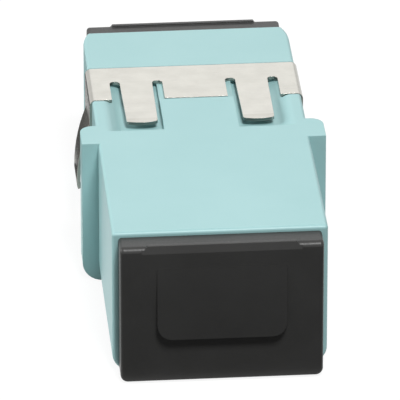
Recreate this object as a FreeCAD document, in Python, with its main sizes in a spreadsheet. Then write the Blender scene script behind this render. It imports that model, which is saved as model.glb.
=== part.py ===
import FreeCAD, Part
import math
import os
import Sketcher
from types import SimpleNamespace

# Duplex fibre coupler with a panel clip and a dust cap in each end, in millimetres.
# X runs across the two ports, Y from the front ports to the rear ports, Z up from the base.
# The middle of the body's length is y = 0, and the flange stands a little in front of it.

sizes = [
    # Moulded body
    ("body_width", 12.8),
    ("body_height", 9.3),
    ("body_length", 27.1),
    ("bottom_edge_radius", 1.15),
    ("edge_radius", 0.2),
    ("lead_in_length", 1.65),
    # Shares of the side wall beside the ports
    ("lead_in_share", 0.38),
    ("lead_in_edge_share", 0.26),
    ("mouth_chamfer_share", 0.26),
    ("hook_share", 0.36),
    # Panel flange: one ear at each side
    ("flange_thickness", 2.4),
    ("flange_setback", 0.6),
    ("ear_reach", 1.0),
    ("ear_rear_radius", 0.8),
    ("ear_foot_radius", 1.2),
    # Ports, each with a latch slot above it and shoulders behind the slot
    ("port_width", 4.65),
    ("port_pitch", 6.25),
    ("port_floor", 1.05),
    ("latch_slot_width", 3.1),
    ("latch_slot_height", 2.2),
    ("latch_shoulder_depth", 3.0),
    # Seam between the two housings, and the parts that hold the sleeves
    ("seam_setback", 7.2),
    ("web_thickness", 0.8),
    ("retainer_thickness", 1.2),
    ("barrel_diameter", 2.6),
    ("barrel_bore", 1.75),
    ("barrel_lip", 0.4),
    ("barrel_mouth", 1.4),
    ("barrel_chamfer", 0.15),
    ("inner_clearance", 0.05),
    # Split sleeves
    ("sleeve_diameter", 1.6),
    ("sleeve_bore", 1.25),
    ("sleeve_length", 6.8),
    ("sleeve_slit", 0.25),
    ("sleeve_play", 0.1),
    # Spring clip and its groove
    ("clip_thickness", 0.2),
    ("clip_bend_radius", 0.2),
    ("groove_depth", 0.22),
    ("side_groove_share", 0.08),
    ("groove_clearance", 0.03),
    ("groove_end_gap", 0.08),
    ("band_front", 4.05),
    ("band_overlap", 1.2),
    ("leg_foot", 1.3),
    ("hook_width", 1.6),
    # Tongues on top of the clip, and the relief pockets under them
    ("tongue_inset", 1.85),
    ("tongue_width", 2.0),
    ("tongue_tip_width", 1.88),
    ("tongue_tip", 0.7),
    ("tongue_tip_length", 0.5),
    ("tongue_tip_radius", 3.5),
    ("tongue_fold", 1.2),
    ("tongue_rise", 0.12),
    ("tongue_tip_drop", 0.05),
    ("tongue_corner_radius", 0.2),
    ("slot_width", 0.62),
    ("slot_setback", 6.5),
    ("slot_end_share", 0.47),
    ("pocket_margin", 0.27),
    ("pocket_slope", 0.75),
    ("pocket_sink_share", 0.21),
    ("pocket_soft_share", 3.0),
    ("pocket_front", 0.17),
    # Bowed leaves in the clip's sides
    ("leaf_width", 2.6),
    ("leaf_gap", 0.3),
    ("leaf_bow", 0.91),
    ("leaf_root", 7.2),
    ("leaf_crest", 3.2),
    ("leaf_curl_radius", 1.1),
    ("leaf_curl_share", 0.36),
    ("window_foot", 2.3),
    # Dust caps
    ("cap_side_inset", 0.38),
    ("cap_top_inset", 0.28),
    ("cap_foot_inset", 0.1),
    ("cap_plate", 1.5),
    ("cap_seat_gap", 0.05),
    ("cap_foot_radius", 0.45),
    ("cap_brow_radius", 0.35),
    ("cap_rim_radius", 0.2),
    ("plug_length", 4.0),
    ("plug_clearance", 0.08),
    ("plug_wall", 0.8),
    ("rib_width", 8.8),
    ("rib_ramp", 0.35),
    ("rib_height", 0.1),
    ("rib_thickness", 0.35),
    ("rib_batter", 0.12),
    ("rib_foot_drop", 0.4),
    ("grip_width", 7.7),
    ("grip_head", 7.6),
    ("grip_foot", 3.1),
    ("grip_reach", 0.5),
    ("grip_corner_radius", 0.9),
]

doc = FreeCAD.newDocument("fibre_coupler")
sheet = doc.addObject("Spreadsheet::Sheet", "Sizes")
for row, (alias, value) in enumerate(sizes, start=1):
    sheet.set(f"A{row}", alias.replace("_", " "))
    sheet.set(f"B{row}", str(value))
    sheet.setAlias(f"B{row}", alias)
doc.recompute()


class Size:
    """A length, together with the sheet expression that it is bound to."""

    def __init__(self, number, text):
        self.number = number
        self.text = text

    @staticmethod
    def of(value):
        return value if isinstance(value, Size) else Size(value, repr(value))

    def __add__(self, other):
        other = Size.of(other)
        return Size(self.number + other.number, f"({self.text} + {other.text})")

    def __sub__(self, other):
        other = Size.of(other)
        return Size(self.number - other.number, f"({self.text} - {other.text})")

    def __mul__(self, other):
        other = Size.of(other)
        return Size(self.number * other.number, f"({self.text} * {other.text})")

    def __truediv__(self, other):
        other = Size.of(other)
        return Size(self.number / other.number, f"({self.text} / {other.text})")

    def __neg__(self):
        return Size(-self.number, f"(-1 * {self.text})")

    __radd__ = __add__
    __rmul__ = __mul__


dim = SimpleNamespace(**{alias: Size(value, f"Sizes.{alias}") for alias, value in sizes})
zero = Size(0.0, "0")

# Places that several pieces share
half_width = dim.body_width / 2
half_length = dim.body_length / 2
flange_front = -dim.flange_setback - dim.flange_thickness / 2
flange_rear = -dim.flange_setback + dim.flange_thickness / 2
ear_side = half_width + dim.ear_reach
port_top = dim.port_floor + dim.port_width
port_axis = dim.port_floor + dim.port_width / 2
port_offset = dim.port_pitch / 2
latch_roof = port_top + dim.latch_slot_height
cavity_side = port_offset + dim.port_width / 2
side_wall = half_width - cavity_side
divider = port_offset - dim.port_width / 2
web_rear = (dim.web_thickness - dim.retainer_thickness) / 2
web_front = web_rear - dim.web_thickness
retainer_rear = web_rear + dim.retainer_thickness
sleeve_reach = dim.sleeve_length / 2
barrel_reach = sleeve_reach + dim.sleeve_play + dim.barrel_lip
side_groove_depth = side_wall * dim.side_groove_share
groove_side = half_width - side_groove_depth
groove_top = dim.body_height - dim.groove_depth
clip_inner_side = groove_side + dim.groove_clearance
clip_outer_side = clip_inner_side + dim.clip_thickness
clip_inner_top = groove_top + dim.groove_clearance
clip_outer_top = clip_inner_top + dim.clip_thickness
band_rear = dim.seam_setback + dim.band_overlap
groove_front = dim.band_front - dim.groove_end_gap
groove_rear = band_rear + dim.groove_end_gap
hook_front = dim.seam_setback - dim.hook_width / 2
hook_rear = dim.seam_setback + dim.hook_width / 2
hook_reach = (side_wall - side_groove_depth) * dim.hook_share
tongue_outer = half_width - dim.tongue_inset
tongue_middle = tongue_outer - dim.tongue_width / 2
tongue_inner = tongue_outer - dim.tongue_width
slot_inner = tongue_inner - dim.slot_width
slot_outer = tongue_outer + dim.slot_width
leaf_middle = (dim.band_front + band_rear) / 2
leaf_front = leaf_middle - dim.leaf_width / 2
leaf_rear = leaf_middle + dim.leaf_width / 2
sides = (("left", -1), ("right", 1))


def plane_of(body, role):
    return next(item for item in body.Origin.OriginFeatures if item.Role == role)


def sketch_on(body, role, level, name):
    """An empty sketch parallel to an origin plane, a level along the plane's normal away."""
    sketch = body.newObject("Sketcher::SketchObject", name)
    sketch.AttachmentSupport = [(plane_of(body, role), "")]
    sketch.MapMode = "FlatFace"
    sketch.setExpression("AttachmentOffset.Base.z", level.text)
    return sketch


def measure(sketch, kind, *places, value):
    """A dimension of the sketch, bound to the sheet."""
    index = sketch.addConstraint(Sketcher.Constraint(kind, *places, value.number))
    sketch.setExpression(f"Constraints[{index}]", value.text)


def fix_along(sketch, kind, axis, element, point, value):
    """Holds one coordinate of a point at its distance from the sketch's origin."""
    if value.number > 0:
        measure(sketch, kind, -1, 1, element, point, value=value)
    elif value.number < 0:
        measure(sketch, kind, element, point, -1, 1, value=-value)
    else:
        sketch.addConstraint(Sketcher.Constraint("PointOnObject", element, point, axis))


def fix_point(sketch, element, point, across, up):
    fix_along(sketch, "DistanceX", -2, element, point, across)
    fix_along(sketch, "DistanceY", -1, element, point, up)


def join(sketch, first, first_point, second, second_point):
    sketch.addConstraint(
        Sketcher.Constraint("Coincident", first, first_point, second, second_point))


def spot(across, up):
    return FreeCAD.Vector(across.number, up.number, 0)


def draw_polygon(sketch, corners):
    count = len(corners)
    for index, corner in enumerate(corners):
        following = corners[(index + 1) % count]
        sketch.addGeometry(Part.LineSegment(spot(*corner), spot(*following)), False)
    for index, corner in enumerate(corners):
        join(sketch, index, 2, (index + 1) % count, 1)
        fix_point(sketch, index, 1, *corner)


def draw_circle(sketch, across, up, diameter):
    circle = Part.Circle(spot(across, up), FreeCAD.Vector(0, 0, 1), diameter.number / 2)
    index = sketch.addGeometry(circle, False)
    fix_point(sketch, index, 3, across, up)
    measure(sketch, "Diameter", index, value=diameter)


def box_corners(across_low, across_high, up_low, up_high):
    return [(across_low, up_low), (across_high, up_low),
            (across_high, up_high), (across_low, up_high)]


def extrude(body, kind, role, low, high, name, draw):
    """A pad or pocket between two levels of an origin plane's normal.

    A pad starts at the lower level and a pocket at the higher one, because each works along
    its own side of the sketch.
    """
    before = body.Shape.Volume if body.Tip else 0.0
    sketch = sketch_on(body, role, low if kind == "Pad" else high, name + "_sketch")
    draw(sketch)
    feature = body.newObject(f"PartDesign::{kind}", name)
    feature.Profile = sketch
    feature.setExpression("Length", (high - low).text)
    doc.recompute()
    grown = body.Shape.Volume - before
    if grown == 0 or (grown > 0) != (kind == "Pad"):
        raise RuntimeError(f"{body.Label}: {name} changed the volume by {grown:.4f}")
    return feature


def along_x(body, kind, x_low, x_high, name, draw):
    return extrude(body, kind, "YZ_Plane", x_low, x_high, name, draw)


def along_y(body, kind, y_low, y_high, name, draw):
    # The XZ plane's normal points to the front, along -Y
    return extrude(body, kind, "XZ_Plane", -y_high, -y_low, name, draw)


def along_z(body, kind, z_low, z_high, name, draw):
    return extrude(body, kind, "XY_Plane", z_low, z_high, name, draw)


def polygon(corners):
    return lambda sketch: draw_polygon(sketch, corners)


def block(across_low, across_high, up_low, up_high):
    return polygon(box_corners(across_low, across_high, up_low, up_high))


def disc(across, up, diameter):
    return lambda sketch: draw_circle(sketch, across, up, diameter)


def same(first, second):
    return abs(first - second) < 1e-4


def straight_edges(shape, axis, **places):
    """Names of the straight edges along an axis whose other coordinates are as given."""
    names = []
    for index, edge in enumerate(shape.Edges, start=1):
        if edge.Degenerated or edge.Curve.TypeId != "Part::GeomLine":
            continue
        start, end = (vertex.Point for vertex in edge.Vertexes)
        run = end - start
        if not same(abs(getattr(run, axis)), run.Length):
            continue
        middle = (start + end) / 2
        if all(any(same(getattr(middle, name), size.number) for size in choices)
               for name, choices in places.items()):
            names.append(f"Edge{index}")
    return names


def edges_within(shape, x_low, x_high, y_low, y_high, z_low, z_high):
    """Names of the edges that lie wholly between these places."""
    names = []
    for index, edge in enumerate(shape.Edges, start=1):
        box = edge.BoundBox
        spans = ((box.XMin, box.XMax, x_low, x_high), (box.YMin, box.YMax, y_low, y_high),
                 (box.ZMin, box.ZMax, z_low, z_high))
        if all(first > low.number - 1e-3 and last < high.number + 1e-3
               for first, last, low, high in spans):
            names.append(f"Edge{index}")
    return names


def round_edges(shape, diameter, level):
    """Names of the whole circles of one diameter that lie at one place along Y."""
    names = []
    for index, edge in enumerate(shape.Edges, start=1):
        if edge.Degenerated or edge.Curve.TypeId != "Part::GeomCircle":
            continue
        if same(edge.Curve.Radius, diameter.number / 2) and same(edge.Curve.Center.y, level.number):
            names.append(f"Edge{index}")
    return names


def dress(body, kind, names, radius, name):
    """A fillet or chamfer on the named edges of the body as it stands."""
    if not names:
        raise RuntimeError(f"{body.Label}: {name} found no edge")
    feature = body.newObject(f"PartDesign::{kind}", name)
    feature.Base = (feature.BaseFeature or body.Tip, names)
    feature.setExpression("Radius" if kind == "Fillet" else "Size", radius.text)
    doc.recompute()
    if "Invalid" in feature.State:
        raise RuntimeError(f"{body.Label}: {name} could not be made")
    return feature


def fillet(body, name, radius, axis, **places):
    return dress(body, "Fillet", straight_edges(body.Shape, axis, **places), radius, name)


def new_body(label):
    body = doc.addObject("PartDesign::Body", label)
    body.Label = label
    return body


def cut_ports(body, mouth, inner, name):
    """The two ports of one housing, from the mouth at its end face in to a level inside.

    Each has a square bore for the connector, a narrower slot for its latch at the mouth, and
    behind that the full width again, which leaves two shoulders for the latch to catch on.
    """
    inwards = 1 if inner.number > mouth.number else -1
    shoulder = mouth + dim.latch_shoulder_depth * inwards

    def span(first, second):
        return (first, second) if inwards > 0 else (second, first)

    for side, sign in sides:
        middle = port_offset * sign
        half_port = dim.port_width / 2
        half_slot = dim.latch_slot_width / 2
        along_y(body, "Pocket", *span(mouth, inner), f"{name}_{side}",
                block(middle - half_port, middle + half_port, dim.port_floor, port_top))
        along_y(body, "Pocket", *span(mouth, shoulder), f"{name}_slot_{side}",
                block(middle - half_slot, middle + half_slot, port_top, latch_roof))
        along_y(body, "Pocket", *span(shoulder, inner), f"{name}_catch_{side}",
                block(middle - half_port, middle + half_port, port_top, latch_roof))
    mouth_edges = edges_within(body.Shape, -cavity_side, cavity_side, mouth, mouth,
                               dim.port_floor, latch_roof)
    dress(body, "Chamfer", mouth_edges, side_wall * dim.mouth_chamfer_share, name + "_mouths")


def cut_clip_groove(body, y_low, y_high, name):
    """The groove over the top and down both sides, with rounded shoulders under the bends."""
    outside = half_width + dim.groove_depth
    above = dim.body_height + dim.groove_depth
    below = -dim.groove_depth
    arch = [(-outside, below), (-groove_side, below), (-groove_side, groove_top),
            (groove_side, groove_top), (groove_side, below), (outside, below),
            (outside, above), (-outside, above)]
    along_y(body, "Pocket", y_low, y_high, name, polygon(arch))
    fillet(body, name + "_shoulders", dim.clip_bend_radius, "y",
           x=[groove_side, -groove_side], z=[groove_top])


def cut_hook_notches(body, y_low, y_high, name):
    """Notches low in the groove, where the clip's hooks catch."""
    notch_floor = groove_side - hook_reach - dim.inner_clearance
    foot = dim.leg_foot - dim.groove_end_gap
    head = dim.leg_foot + dim.clip_thickness + dim.groove_end_gap
    for side, sign in sides:
        edge = sorted((notch_floor * sign, groove_side * sign), key=lambda size: size.number)
        along_y(body, "Pocket", y_low, y_high, f"{name}_{side}", block(*edge, foot, head))


def add_barrels(body, y_root, y_tip, name):
    """The two barrels that hold the sleeves, bored from the root to a lip at the tip."""
    outwards = 1 if y_tip.number > y_root.number else -1
    lip_face = y_tip - dim.barrel_lip * outwards
    back_face = web_rear
    for side, sign in sides:
        middle = port_offset * sign
        lengths = ((y_root, y_tip), (back_face, lip_face), (lip_face, y_tip))
        spans = [pair if outwards > 0 else pair[::-1] for pair in lengths]
        along_y(body, "Pad", *spans[0], f"{name}_{side}",
                disc(middle, port_axis, dim.barrel_diameter))
        along_y(body, "Pocket", *spans[1], f"{name}_bore_{side}",
                disc(middle, port_axis, dim.barrel_bore))
        along_y(body, "Pocket", *spans[2], f"{name}_mouth_{side}",
                disc(middle, port_axis, dim.barrel_mouth))
    mouths = round_edges(body.Shape, dim.barrel_mouth, y_tip)
    dress(body, "Chamfer", mouths, dim.barrel_chamfer, name + "_lead_ins")


def draw_corner(sketch, side, rear, depth, length, sign):
    """What lies outside an arc that turns a side in by a depth over a length up to a rear face."""
    start = rear - length
    radius = (length * length + depth * depth) / (depth * 2)
    across = (side - radius) * sign
    turn = math.asin(length.number / radius.number)
    angles = (0, turn) if sign > 0 else (math.pi - turn, math.pi)
    circle = Part.Circle(spot(across, start), FreeCAD.Vector(0, 0, 1), radius.number)
    arc = sketch.addGeometry(Part.ArcOfCircle(circle, *angles), False)
    fix_point(sketch, arc, 3, across, start)
    measure(sketch, "Radius", arc, value=radius)
    side_end, rear_end = (1, 2)[::sign]
    fix_along(sketch, "DistanceY", -1, arc, side_end, start)
    fix_along(sketch, "DistanceX", -2, arc, rear_end, (side - depth) * sign)
    outside = (side + depth) * sign
    corners = [((side - depth) * sign, rear), (outside, rear), (outside, start), (side * sign, start)]
    lines = [sketch.addGeometry(Part.LineSegment(spot(*first), spot(*second)), False)
             for first, second in zip(corners, corners[1:])]
    join(sketch, lines[0], 1, arc, rear_end)
    join(sketch, lines[2], 2, arc, side_end)
    for line in lines[1:]:
        join(sketch, line - 1, 2, line, 1)
        fix_point(sketch, line, 1, *corners[line - lines[0]])


def cut_corners(body, name, side, rear, depth, length):
    """Turns both sides of the body in towards a rear face."""
    for label, sign in sides:
        along_z(body, "Pocket", zero, dim.body_height, f"{name}_{label}",
                lambda sketch: draw_corner(sketch, side, rear, depth, length, sign))


def front_housing():
    body = new_body("front_housing")
    along_y(body, "Pad", -half_length, dim.seam_setback, "block",
            block(-half_width, half_width, zero, dim.body_height))
    along_y(body, "Pad", flange_front, flange_rear, "flange",
            block(-ear_side, ear_side, zero, dim.body_height))
    body_sides = [half_width, -half_width]
    ear_sides = [ear_side, -ear_side]
    fillet(body, "bottom_edges", dim.bottom_edge_radius, "y", x=body_sides, z=[zero])
    fillet(body, "ear_feet", dim.ear_foot_radius, "y", x=ear_sides, z=[zero])
    cut_corners(body, "ear_back", ear_side, flange_rear, dim.ear_rear_radius, dim.ear_rear_radius)
    crisp = straight_edges(body.Shape, "y", x=body_sides, z=[dim.body_height])
    crisp += straight_edges(body.Shape, "z", x=body_sides, y=[-half_length])
    crisp += straight_edges(body.Shape, "x", y=[-half_length], z=[dim.body_height])
    dress(body, "Fillet", crisp, dim.edge_radius, "crisp_edges")

    # Behind the web the cavity is open across both ports, so that the retainer goes in
    cut_ports(body, -half_length, web_front, "port")
    along_y(body, "Pocket", web_rear, dim.seam_setback, "cavity",
            block(-cavity_side, cavity_side, dim.port_floor, latch_roof))
    add_barrels(body, web_front, -barrel_reach, "barrel")

    cut_clip_groove(body, groove_front, dim.seam_setback, "clip_groove")

    # Relief pockets, sunk below the groove as far as the slots reach back under the band: a
    # straight inner wall, and a soft slope outside
    sink = (groove_top - latch_roof) * dim.pocket_sink_share
    pocket_floor = groove_top - sink
    pocket_rear = dim.slot_setback + dim.pocket_margin
    inner = tongue_inner - dim.pocket_margin
    floor_end = tongue_outer + dim.pocket_margin
    outer = floor_end + dim.pocket_slope
    for side, sign in sides:
        section = [(inner * sign, pocket_floor), (floor_end * sign, pocket_floor),
                   (outer * sign, dim.body_height), (inner * sign, dim.body_height)]
        along_y(body, "Pocket", -dim.pocket_front, pocket_rear, f"tongue_pocket_{side}",
                polygon(section))
    fillet(body, "pocket_slope_tops", sink * dim.pocket_soft_share, "y",
           x=[outer, -outer], z=[dim.body_height])
    fillet(body, "pocket_slope_feet", sink * dim.pocket_soft_share, "y",
           x=[floor_end, -floor_end], z=[pocket_floor])
    cut_hook_notches(body, hook_front - dim.groove_end_gap, dim.seam_setback, "hook_notch")
    return body


def rear_housing():
    body = new_body("rear_housing")
    along_y(body, "Pad", dim.seam_setback, half_length, "block",
            block(-half_width, half_width, zero, dim.body_height))
    body_sides = [half_width, -half_width]
    fillet(body, "bottom_edges", dim.bottom_edge_radius, "y", x=body_sides, z=[zero])
    lead_in_depth = side_wall * dim.lead_in_share
    cut_corners(body, "lead_in", half_width, half_length, lead_in_depth, dim.lead_in_length)
    narrowed = half_width - lead_in_depth
    fillet(body, "rear_corners", side_wall * dim.lead_in_edge_share, "z",
           x=[narrowed, -narrowed], y=[half_length])
    fillet(body, "top_edges", dim.edge_radius, "y", x=body_sides, z=[dim.body_height])
    cut_ports(body, half_length, dim.seam_setback, "port")

    # The divider between the ports runs on into the front housing and traps the retainer
    along_y(body, "Pad", retainer_rear + dim.inner_clearance, dim.seam_setback, "divider",
            block(-divider, divider, dim.port_floor + dim.inner_clearance,
                  latch_roof - dim.inner_clearance))
    cut_clip_groove(body, dim.seam_setback, groove_rear, "clip_groove")
    cut_hook_notches(body, dim.seam_setback, hook_rear + dim.groove_end_gap, "hook_notch")
    return body


def sleeve_retainer():
    body = new_body("sleeve_retainer")
    side = cavity_side - dim.inner_clearance
    along_y(body, "Pad", web_rear, retainer_rear, "plate",
            block(-side, side, dim.port_floor + dim.inner_clearance,
                  latch_roof - dim.inner_clearance))
    add_barrels(body, retainer_rear, barrel_reach, "barrel")
    return body


def alignment_sleeve(side, sign):
    """A split ceramic tube: its slit lets it grip the two ferrules."""
    body = new_body(f"alignment_sleeve_{side}")
    wall_top = dim.sleeve_diameter / 2
    along_y(body, "Pad", -sleeve_reach, sleeve_reach, "tube",
            disc(zero, zero, dim.sleeve_diameter))
    along_y(body, "Pocket", -sleeve_reach, sleeve_reach, "bore",
            disc(zero, zero, dim.sleeve_bore))
    along_y(body, "Pocket", -sleeve_reach, sleeve_reach, "slit",
            block(-dim.sleeve_slit / 2, dim.sleeve_slit / 2, zero, wall_top + dim.sleeve_play))
    body.setExpression("Placement.Base.x", (port_offset * sign).text)
    body.setExpression("Placement.Base.z", port_axis.text)
    return body


def draw_leaf(sketch, sign):
    """A strip of even thickness: a long arc from its root to its crest, then an inward curl."""
    rise = dim.leaf_root - dim.leaf_crest
    crest_side = half_width + dim.leaf_bow
    bow = crest_side - clip_outer_side
    long_radius = (rise * rise + bow * bow) / (bow * 2)
    arcs = []
    for radius, far_level in ((long_radius, dim.leaf_root), (dim.leaf_curl_radius, None)):
        across = (crest_side - radius) * sign
        for inset in (zero, dim.clip_thickness):
            bent = radius - inset
            far = far_level or dim.leaf_crest - bent * dim.leaf_curl_share
            turn = math.asin((far.number - dim.leaf_crest.number) / bent.number)
            angles = sorted((0, turn) if sign > 0 else (math.pi, math.pi - turn))
            circle = Part.Circle(spot(across, dim.leaf_crest), FreeCAD.Vector(0, 0, 1), bent.number)
            arc = sketch.addGeometry(Part.ArcOfCircle(circle, *angles), False)
            ends = (1, 2) if (turn > 0) == (sign > 0) else (2, 1)
            fix_point(sketch, arc, 3, across, dim.leaf_crest)
            measure(sketch, "Radius", arc, value=bent)
            fix_along(sketch, "DistanceY", -1, arc, ends[0], dim.leaf_crest)
            fix_along(sketch, "DistanceY", -1, arc, ends[1], far)
            arcs.append((arc, *ends))
    for outer, inner in (arcs[:2], arcs[2:]):
        points = [sketch.getPoint(arc[0], arc[2]) for arc in (outer, inner)]
        line = sketch.addGeometry(Part.LineSegment(*points), False)
        join(sketch, line, 1, outer[0], outer[2])
        join(sketch, line, 2, inner[0], inner[2])


def draw_tip(sketch, middle, beyond):
    """What lies in front of the arc that ends a tongue."""
    reach = dim.tongue_width / 2 + dim.slot_width
    radius = dim.tongue_tip_radius
    across = (middle - reach, middle + reach)
    turn = math.asin(reach.number / radius.number)
    circle = Part.Circle(spot(middle, dim.tongue_tip + radius), FreeCAD.Vector(0, 0, 1),
                         radius.number)
    down = -math.pi / 2
    arc = sketch.addGeometry(Part.ArcOfCircle(circle, down - turn, down + turn), False)
    fix_point(sketch, arc, 3, middle, dim.tongue_tip + radius)
    measure(sketch, "Radius", arc, value=radius)
    for point, place in zip((1, 2), across):
        fix_along(sketch, "DistanceX", -2, arc, point, place)
    left, right = (sketch.getPoint(arc, point) for point in (1, 2))
    corners = [spot(across[1], beyond), spot(across[0], beyond)]
    points = [right, *corners, left]
    lines = [sketch.addGeometry(Part.LineSegment(first, second), False)
             for first, second in zip(points, points[1:])]
    join(sketch, lines[0], 1, arc, 2)
    join(sketch, lines[0], 2, lines[1], 1)
    join(sketch, lines[1], 2, lines[2], 1)
    join(sketch, lines[2], 2, arc, 1)
    fix_point(sketch, lines[1], 1, across[1], beyond)
    fix_point(sketch, lines[1], 2, across[0], beyond)


def spring_clip():
    body = new_body("spring_clip")
    arch = [(-clip_outer_side, dim.leg_foot), (-clip_inner_side, dim.leg_foot),
            (-clip_inner_side, clip_inner_top), (clip_inner_side, clip_inner_top),
            (clip_inner_side, dim.leg_foot), (clip_outer_side, dim.leg_foot),
            (clip_outer_side, clip_outer_top), (-clip_outer_side, clip_outer_top)]
    along_y(body, "Pad", dim.band_front, band_rear, "band", polygon(arch))
    fillet(body, "bend_insides", dim.clip_bend_radius, "y",
           x=[clip_inner_side, -clip_inner_side], z=[clip_inner_top])
    fillet(body, "bend_outsides", dim.clip_bend_radius + dim.clip_thickness, "y",
           x=[clip_outer_side, -clip_outer_side], z=[clip_outer_top])

    # Windows in the legs, with a bowed leaf hanging in each, and a hook at each foot
    along_x(body, "Pocket", -clip_outer_side, clip_outer_side, "windows",
            block(leaf_front - dim.leaf_gap, leaf_rear + dim.leaf_gap,
                  dim.window_foot, dim.leaf_root))
    for side, sign in sides:
        along_y(body, "Pad", leaf_front, leaf_rear, f"leaf_{side}",
                lambda sketch: draw_leaf(sketch, sign))
        hook = sorted(((clip_inner_side - hook_reach) * sign, clip_outer_side * sign),
                      key=lambda size: size.number)
        along_y(body, "Pad", hook_front, hook_rear, f"hook_{side}",
                block(*hook, dim.leg_foot, dim.leg_foot + dim.clip_thickness))

    # Tongues: flat out of the band, then rising from a fold, with the tip turned down
    fold = dim.slot_setback - dim.tongue_fold
    crest = dim.tongue_tip + dim.tongue_tip_length
    raised = clip_outer_top + dim.tongue_rise
    tip_top = raised - dim.tongue_tip_drop
    profile = [(dim.slot_setback, clip_inner_top), (dim.slot_setback, clip_outer_top),
               (fold, clip_outer_top), (crest, raised), (dim.tongue_tip, tip_top),
               (dim.tongue_tip, tip_top - dim.clip_thickness),
               (crest, raised - dim.clip_thickness), (fold, clip_inner_top)]
    beyond_tip = dim.tongue_tip - dim.tongue_tip_length
    tip_inner = tongue_middle - dim.tongue_tip_width / 2
    tip_outer = tongue_middle + dim.tongue_tip_width / 2
    for side, sign in sides:
        reach = sorted((slot_inner * sign, slot_outer * sign), key=lambda size: size.number)
        along_x(body, "Pad", *reach, f"tongue_{side}", polygon(profile))
        for name, far, root, tip in (("inner", slot_inner, tongue_inner, tip_inner),
                                     ("outer", slot_outer, tongue_outer, tip_outer)):
            outline = [(far * sign, dim.slot_setback), (root * sign, dim.slot_setback),
                       (tip * sign, beyond_tip), (far * sign, beyond_tip)]
            along_z(body, "Pocket", clip_inner_top - dim.clip_thickness, raised,
                    f"slot_{name}_{side}", polygon(outline))
        along_z(body, "Pocket", clip_inner_top - dim.clip_thickness, raised, f"tip_{side}",
                lambda sketch: draw_tip(sketch, tongue_middle * sign, beyond_tip))
    fillet(body, "slot_ends", dim.slot_width * dim.slot_end_share, "z", y=[dim.slot_setback])
    upright = straight_edges(body.Shape, "z")
    at_tips = edges_within(body.Shape, -slot_outer, slot_outer, dim.tongue_tip, crest,
                           clip_inner_top, raised)
    dress(body, "Fillet", [name for name in upright if name in at_tips],
          dim.tongue_corner_radius, "tongue_corners")
    return body


def dust_cap(label, turn):
    """A duplex cap: a plate with a grip pad outside and two hollow plugs inside."""
    body = new_body(label)
    seat = -half_length - dim.cap_seat_gap
    face = seat - dim.cap_plate
    side = half_width - dim.cap_side_inset
    plate_foot = dim.cap_foot_inset
    plate_top = dim.body_height - dim.cap_top_inset
    along_y(body, "Pad", face, seat, "plate", block(-side, side, plate_foot, plate_top))
    fillet(body, "plate_feet", dim.cap_foot_radius, "y", x=[side, -side], z=[plate_foot])
    fillet(body, "plate_brow", dim.cap_brow_radius, "x", y=[face], z=[plate_top])
    fillet(body, "plate_rim", dim.cap_rim_radius, "z", x=[side, -side], y=[face])

    # A low rib stands along the plate's top, and the grip leans out to a ledge at its foot
    rib_top = plate_top + dim.rib_height
    rib_foot = plate_top - dim.rib_foot_drop
    rib_end = dim.rib_width / 2
    rib_toe = rib_end + dim.rib_ramp
    along_y(body, "Pad", face, face + dim.rib_thickness, "rib",
            polygon([(-rib_toe, rib_foot), (rib_toe, rib_foot), (rib_end, rib_top),
                     (-rib_end, rib_top)]))
    along_x(body, "Pocket", -rib_toe, rib_toe, "rib_batter",
            polygon([(face, rib_foot), (face + dim.rib_batter, rib_top), (face, rib_top)]))
    embedded = face + dim.cap_brow_radius
    ledge = face - dim.grip_reach
    half_grip = dim.grip_width / 2
    grip = [(embedded, dim.grip_foot), (ledge, dim.grip_foot),
            (face, dim.grip_head), (embedded, dim.grip_head)]
    along_x(body, "Pad", -half_grip, half_grip, "grip", polygon(grip))
    fillet(body, "grip_corners", dim.grip_corner_radius, "y",
           x=[half_grip, -half_grip], z=[dim.grip_foot])

    # Plugs: square tubes that fill the ports less their clearance
    plug_end = -half_length + dim.plug_length
    half_plug = dim.port_width / 2 - dim.plug_clearance
    half_hollow = half_plug - dim.plug_wall
    for name, sign in sides:
        middle = port_offset * sign
        along_y(body, "Pad", seat, plug_end, f"plug_{name}",
                block(middle - half_plug, middle + half_plug,
                      port_axis - half_plug, port_axis + half_plug))
        along_y(body, "Pocket", seat, plug_end, f"plug_hollow_{name}",
                block(middle - half_hollow, middle + half_hollow,
                      port_axis - half_hollow, port_axis + half_hollow))
    body.Placement = FreeCAD.Placement(
        FreeCAD.Vector(0, 0, 0), FreeCAD.Rotation(FreeCAD.Vector(0, 0, 1), turn))
    return body


nodes = [front_housing(), rear_housing(), sleeve_retainer()]
nodes += [alignment_sleeve(side, sign) for side, sign in sides]
nodes += [spring_clip(), dust_cap("front_dust_cap", 0), dust_cap("rear_dust_cap", 180)]
doc.recompute()

for item in doc.Objects:
    if "Invalid" in item.State or "Error" in item.State:
        raise RuntimeError(f"{item.Label} failed: {item.State}")
for node in nodes:
    if node.Shape.isNull() or not node.Shape.isValid() or len(node.Shape.Solids) != 1:
        raise RuntimeError(f"{node.Label} has no valid solid")

os.makedirs("parts", exist_ok=True)
for node in nodes:
    node.Shape.exportStep(f"parts/{node.Label}.step")
    box = node.Shape.BoundBox
    print(f"{node.Label}: {node.Shape.Volume:.2f} mm3, "
          f"x {box.XMin:.2f} to {box.XMax:.2f}, y {box.YMin:.2f} to {box.YMax:.2f}, "
          f"z {box.ZMin:.2f} to {box.ZMax:.2f}")
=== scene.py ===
import math

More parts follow.
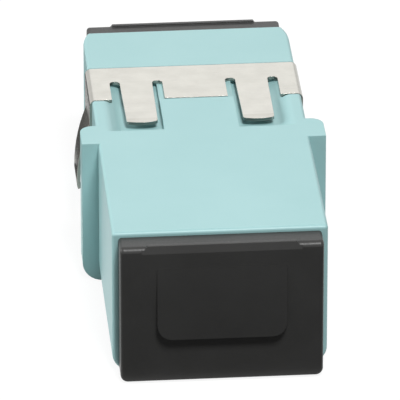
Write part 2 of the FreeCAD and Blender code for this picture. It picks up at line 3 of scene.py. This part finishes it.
import bpy
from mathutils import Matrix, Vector

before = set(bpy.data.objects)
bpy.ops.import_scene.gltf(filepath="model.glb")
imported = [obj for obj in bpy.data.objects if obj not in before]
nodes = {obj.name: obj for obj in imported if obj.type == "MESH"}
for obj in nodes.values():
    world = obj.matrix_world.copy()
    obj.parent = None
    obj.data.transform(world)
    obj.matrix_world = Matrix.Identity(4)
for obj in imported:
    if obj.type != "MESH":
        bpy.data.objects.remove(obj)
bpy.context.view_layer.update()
scene = bpy.context.scene
scene.view_settings.view_transform = "Standard"
mm = 0.001
noiseSpan = (0.3, 0.7)  # nearly all of a noise lies between these
edgeSamples = 6  # rays that look for a sharp edge to soften
print("frame loaded:", len(nodes), "pieces")


def opaque(colour):
    return (*colour, 1)


def startMaterial(name):
    material = bpy.data.materials.new(name)
    material.use_nodes = True
    tree = material.node_tree
    return material, tree, tree.nodes["Principled BSDF"]


def addCoords(tree):
    return tree.nodes.new("ShaderNodeTexCoord").outputs["Object"]


def addStretch(tree, coords, scale):
    mapping = tree.nodes.new("ShaderNodeMapping")
    mapping.inputs["Scale"].default_value = scale
    tree.links.new(coords, mapping.inputs["Vector"])
    return mapping.outputs["Vector"]


def addNoise(tree, coords, size, detail):  # size of one blotch, in metres
    noise = tree.nodes.new("ShaderNodeTexNoise")
    noise.inputs["Scale"].default_value = 1 / size
    noise.inputs["Detail"].default_value = detail
    tree.links.new(coords, noise.inputs["Vector"])
    return noise.outputs["Fac"]


def addRange(tree, value, span, low, high):  # spreads what lies in the span from low to high
    spread = tree.nodes.new("ShaderNodeMapRange")
    limits = {"From Min": span[0], "From Max": span[1], "To Min": low, "To Max": high}
    for socket, limit in limits.items():
        spread.inputs[socket].default_value = limit
    tree.links.new(value, spread.inputs["Value"])
    return spread.outputs["Result"]


def addTint(tree, noise, look):
    ramp = tree.nodes.new("ShaderNodeValToRGB")
    colours = (look["deep"], look["light"])
    for stop, place, colour in zip(ramp.color_ramp.elements, noiseSpan, colours):
        stop.position = place
        stop.color = opaque(colour)
    tree.links.new(noise, ramp.inputs["Fac"])
    return ramp.outputs["Color"]


def addMath(tree, operation, *values):  # a number or a socket each
    step = tree.nodes.new("ShaderNodeMath")
    step.operation = operation
    for socket, value in zip(step.inputs, values):
        if isinstance(value, bpy.types.NodeSocket):
            tree.links.new(value, socket)
        else:
            socket.default_value = value
    return step.outputs["Value"]


def addFacing(tree):  # where each face looks, along x, y and z
    surface = tree.nodes.new("ShaderNodeNewGeometry")
    facing = tree.nodes.new("ShaderNodeSeparateXYZ")
    tree.links.new(surface.outputs["True Normal"], facing.inputs["Vector"])
    return facing.outputs


def addPatch(tree, mask, colour, patch, blend="MIX"):  # a second colour where the mask is 1
    mix = tree.nodes.new("ShaderNodeMixRGB")
    mix.blend_type = blend
    mix.inputs["Color2"].default_value = opaque(patch)
    tree.links.new(mask, mix.inputs["Fac"])
    tree.links.new(colour, mix.inputs["Color1"])
    return mix.outputs["Color"]


def addRelief(tree, height, look):
    soft = tree.nodes.new("ShaderNodeBevel")  # breaks the sharp edges by a hair
    soft.samples = edgeSamples
    soft.inputs["Radius"].default_value = look["edge"]
    bump = tree.nodes.new("ShaderNodeBump")
    bump.inputs["Strength"].default_value = look["reliefStrength"]
    bump.inputs["Distance"].default_value = look["reliefDepth"]
    tree.links.new(height, bump.inputs["Height"])
    tree.links.new(soft.outputs["Normal"], bump.inputs["Normal"])
    return bump.outputs["Normal"]


def addMouldedTones(tree, look):  # a colour that drifts slowly, and a fine grain
    coords = addCoords(tree)
    cloud = addNoise(tree, coords, look["cloud"], look["cloudDetail"])
    grain = addNoise(tree, coords, look["grain"], look["grainDetail"])
    return addTint(tree, cloud, look), grain


def dressShader(tree, shader, colour, relief, look):  # the sockets that every finish fills
    roughness = addRange(tree, relief, noiseSpan, *look["roughness"])
    tree.links.new(colour, shader.inputs["Base Color"])
    tree.links.new(roughness, shader.inputs["Roughness"])
    tree.links.new(addRelief(tree, relief, look), shader.inputs["Normal"])


aquaLook = {
    "light": (0.366, 0.606, 0.612),
    "deep": (0.342, 0.580, 0.586),
    "cloud": 6 * mm,
    "cloudDetail": 3,
    "grain": 0.09 * mm,  # spark-eroded mould texture
    "grainDetail": 2,
    "reliefDepth": 0.004 * mm,
    "reliefStrength": 0.5,
    "roughness": (0.36, 0.46),
    "edge": 0.05 * mm,
}

zirconiaLook = {
    "light": (0.86, 0.85, 0.81),
    "deep": (0.81, 0.80, 0.76),
    "cloud": 0.8 * mm,
    "cloudDetail": 2,
    "grain": 0.03 * mm,  # what is left after polishing
    "grainDetail": 1,
    "reliefDepth": 0.001 * mm,
    "reliefStrength": 0.3,
    "roughness": (0.08, 0.16),
    "edge": 0.03 * mm,
}


def makeMoulding(name, look):
    material, tree, shader = startMaterial(name)
    colour, grain = addMouldedTones(tree, look)
    dressShader(tree, shader, colour, grain, look)
    return material


blackLook = {
    "light": (0.040, 0.040, 0.039),
    "deep": (0.034, 0.034, 0.033),
    "cloud": 3 * mm,
    "cloudDetail": 4,
    "grain": 0.12 * mm,
    "grainDetail": 2,
    "reliefDepth": 0.006 * mm,
    "reliefStrength": 0.5,
    "roughness": (0.33, 0.45),
    "specular": 0.30,
    "edge": 0.07 * mm,
    "gripPaintedShade": (0.68, 0.68, 0.68),  # painted shade: the grip's leaning face is darkened so it reads no lighter than the plate under the lamps above
    "gripLean": 0.11,  # how far its face leans back, as the upward part of the normal
    "leanReach": 0.05,
}


def makeBlackPlastic(name, look):
    material, tree, shader = startMaterial(name)
    plate, grain = addMouldedTones(tree, look)
    upward = addFacing(tree)["Z"]
    # painted shade on the grip's leaning face, picked out by how far its normal points up
    paintedShadeOnGrip = addMath(tree, "COMPARE", upward, look["gripLean"], look["leanReach"])
    colour = addPatch(tree, paintedShadeOnGrip, plate, look["gripPaintedShade"], "MULTIPLY")
    dressShader(tree, shader, colour, grain, look)
    shader.inputs["Specular IOR Level"].default_value = look["specular"]
    return material


steelLook = {
    "light": (0.490, 0.480, 0.440),
    "deep": (0.446, 0.436, 0.399),
    "mottle": 1.2 * mm,
    "mottleDetail": 3,
    "alongStrip": (120, 6000, 120),  # rolling lines run over the top and down the legs
    "streak": 1.0,  # one line, in that stretched space
    "streakDetail": 3,
    "reliefDepth": 0.0007 * mm,
    "reliefStrength": 0.4,
    "roughness": (0.21, 0.28),
    "edge": 0.03 * mm,
    "shearAndShade": (0.360, 0.354, 0.330),  # torn metal on the stamped edges, duller, and darker still as painted shade on those that face the front or the rear
    "shearAndShadeFacing": 0.6,  # how squarely such an edge looks to the front or the rear
    "shearAndShadeReach": 5.3 * mm,  # the edges on top, between the two bends
}


# painted shade: only the stamped edges that face the front or the rear are darkened, beyond their
# real dullness as torn metal
def addShearAndShadeMask(tree, coords, look):
    place = tree.nodes.new("ShaderNodeSeparateXYZ")
    tree.links.new(coords, place.inputs["Vector"])
    endwise = addMath(tree, "ABSOLUTE", addFacing(tree)["Y"])
    aside = addMath(tree, "ABSOLUTE", place.outputs["X"])
    onEdge = addMath(tree, "GREATER_THAN", endwise, look["shearAndShadeFacing"])
    onTop = addMath(tree, "LESS_THAN", aside, look["shearAndShadeReach"])
    return addMath(tree, "MULTIPLY", onEdge, onTop)


def makeSpringSteel(name, look):
    material, tree, shader = startMaterial(name)
    coords = addCoords(tree)
    stretched = addStretch(tree, coords, look["alongStrip"])
    streak = addNoise(tree, stretched, look["streak"], look["streakDetail"])
    mottle = addNoise(tree, coords, look["mottle"], look["mottleDetail"])
    rolled = addTint(tree, mottle, look)
    # the rolled colour, with the torn edge colour, partly painted shade, where the mask is 1
    colour = addPatch(tree, addShearAndShadeMask(tree, coords, look), rolled, look["shearAndShade"])
    dressShader(tree, shader, colour, streak, look)
    shader.inputs["Metallic"].default_value = 1.0
    return material


aquaPlastic = makeMoulding("housing_aqua", aquaLook)
zirconia = makeMoulding("sleeve_zirconia", zirconiaLook)
blackPlastic = makeBlackPlastic("cap_black", blackLook)
springSteel = makeSpringSteel("clip_steel", steelLook)
finishes = {
    "front_housing": aquaPlastic,
    "rear_housing": aquaPlastic,
    "sleeve_retainer": aquaPlastic,
    "alignment_sleeve_left": zirconia,
    "alignment_sleeve_right": zirconia,
    "front_dust_cap": blackPlastic,
    "rear_dust_cap": blackPlastic,
    "spring_clip": springSteel,
}
for name, node in nodes.items():
    for slot in node.material_slots:
        slot.material = finishes[name]
print("finishes:", len(set(finishes.values())), "materials on", len(nodes), "pieces")


def addSeenRays(tree):  # 1 for the rays that should meet a white studio
    rays = tree.nodes.new("ShaderNodeLightPath").outputs
    onGloss = addMath(tree, "MAXIMUM", rays["Is Camera Ray"], rays["Is Glossy Ray"])
    return addMath(tree, "MAXIMUM", onGloss, rays["Is Transmission Ray"])


def layPlane(name, across, along, level, material):
    corners = [(across[0], along[0], level), (across[1], along[0], level),
               (across[1], along[1], level), (across[0], along[1], level)]
    mesh = bpy.data.meshes.new(name)
    mesh.from_pydata(corners, [], [(0, 1, 2, 3)])
    mesh.materials.append(material)
    plane = bpy.data.objects.new(name, mesh)
    scene.collection.objects.link(plane)
    return plane


floorLook = {
    "half": 1.5,  # from the middle to each side
    "level": -0.02 * mm,
    "paper": (0.22, 0.22, 0.22),  # what lights the object from below
    "seenWhite": 0.88,  # what the camera sees of it, before its own light and shadow
    "seenShade": (0.16, 0.16, 0.16),
}


def makeFloor(look):
    material, tree, shader = startMaterial("floor_paper")
    tree.nodes.remove(shader)
    paper = tree.nodes.new("ShaderNodeBsdfDiffuse")
    paper.inputs["Color"].default_value = opaque(look["paper"])
    shade = tree.nodes.new("ShaderNodeBsdfDiffuse")
    shade.inputs["Color"].default_value = opaque(look["seenShade"])
    glow = tree.nodes.new("ShaderNodeEmission")
    glow.inputs["Strength"].default_value = look["seenWhite"]
    seen = tree.nodes.new("ShaderNodeAddShader")
    either = tree.nodes.new("ShaderNodeMixShader")
    tree.links.new(glow.outputs["Emission"], seen.inputs[0])
    tree.links.new(shade.outputs["BSDF"], seen.inputs[1])
    tree.links.new(addSeenRays(tree), either.inputs["Fac"])
    tree.links.new(paper.outputs["BSDF"], either.inputs[1])
    tree.links.new(seen.outputs["Shader"], either.inputs[2])
    tree.links.new(either.outputs["Shader"], tree.nodes["Material Output"].inputs["Surface"])
    sides = (-look["half"], look["half"])
    layPlane("floor", sides, sides, look["level"], material)


flagLook = {  # black cards on the floor, which only reflections see
    "colour": (0.01, 0.01, 0.01),
    "roughness": 0.9,
    "level": 0.03 * mm,
    "cards": [
        {"name": "leaf flag", "across": (-24 * mm, -8.6 * mm), "along": (12 * mm, 40 * mm)},
        {"name": "crest flag", "across": (-8.6 * mm, -7.3 * mm), "along": (7 * mm, 14 * mm)},
        {"name": "front flag", "across": (-60 * mm, 60 * mm), "along": (-48 * mm, -15.8 * mm)},
    ],
}


def makeFlags(look):
    material, _, shader = startMaterial("flag_black")
    shader.inputs["Base Color"].default_value = opaque(look["colour"])
    shader.inputs["Roughness"].default_value = look["roughness"]
    for card in look["cards"]:
        flag = layPlane(card["name"], card["across"], card["along"], look["level"], material)
        flag.visible_camera = False
        flag.visible_diffuse = False
        flag.visible_shadow = False


skyLook = {
    "colour": (1, 1, 1),
    "light": 0.16,  # what falls on the object
    "seen": 1.0,  # what the camera and reflections see
}


def makeSky(look):
    world = bpy.data.worlds.new("studio")
    world.use_nodes = True
    tree = world.node_tree
    sky = tree.nodes["Background"]
    sky.inputs["Color"].default_value = opaque(look["colour"])
    strength = addRange(tree, addSeenRays(tree), (0, 1), look["light"], look["seen"])
    tree.links.new(strength, sky.inputs["Strength"])
    scene.world = world


lampLook = {
    "aim": (0, 0, 5 * mm),
    "lamps": [
        {"name": "key", "place": (-0.40, 0.03, 0.20), "size": 0.28, "power": 1.17},
        {"name": "fill", "place": (0.052, -0.25, 0.39), "size": 0.13, "power": 1.64},
        {"name": "back softbox", "place": (0.04, 0.44, 0.23), "size": 0.36, "power": 0.18},
    ],
}


def makeLamps(look):
    for lamp in look["lamps"]:
        light = bpy.data.lights.new(lamp["name"], "AREA")
        light.shape = "DISK"
        light.size = lamp["size"]
        light.energy = lamp["power"]
        away = Vector(lamp["place"]) - Vector(look["aim"])
        holder = bpy.data.objects.new(lamp["name"], light)
        holder.location = lamp["place"]
        holder.rotation_euler = away.to_track_quat("Z", "Y").to_euler()
        scene.collection.objects.link(holder)


cameraLook = {
    "azimuth": -4.59,
    "elevation": 27.3,
    "distance": 424 * mm,
    "lens": 628.4,  # a long lens: the sides hardly converge
    "aim": (0, -1.45 * mm, 4.65 * mm),
    "right": -0.219 * mm,  # from the aim to the picture's centre
    "up": 0.343 * mm,
}


def makeCamera(look):
    turn = math.radians(look["azimuth"])
    tilt = math.radians(look["elevation"])
    level = math.cos(tilt)
    back = Vector((math.sin(turn) * level, -math.cos(turn) * level, math.sin(tilt)))
    right = Vector((math.cos(turn), math.sin(turn), 0))
    up = back.cross(right)
    centre = Vector(look["aim"]) + right * look["right"] + up * look["up"]
    camera = bpy.data.objects.new("camera", bpy.data.cameras.new("camera"))
    camera.data.lens = look["lens"]
    camera.location = centre + back * look["distance"]
    camera.rotation_euler = back.to_track_quat("Z", "Y").to_euler()
    scene.collection.objects.link(camera)
    scene.camera = camera


makeFloor(floorLook)
makeFlags(flagLook)
makeSky(skyLook)
makeLamps(lampLook)
makeCamera(cameraLook)
print("stage: floor,", len(flagLook["cards"]), "cards, sky,", len(lampLook["lamps"]), "lamps, camera")
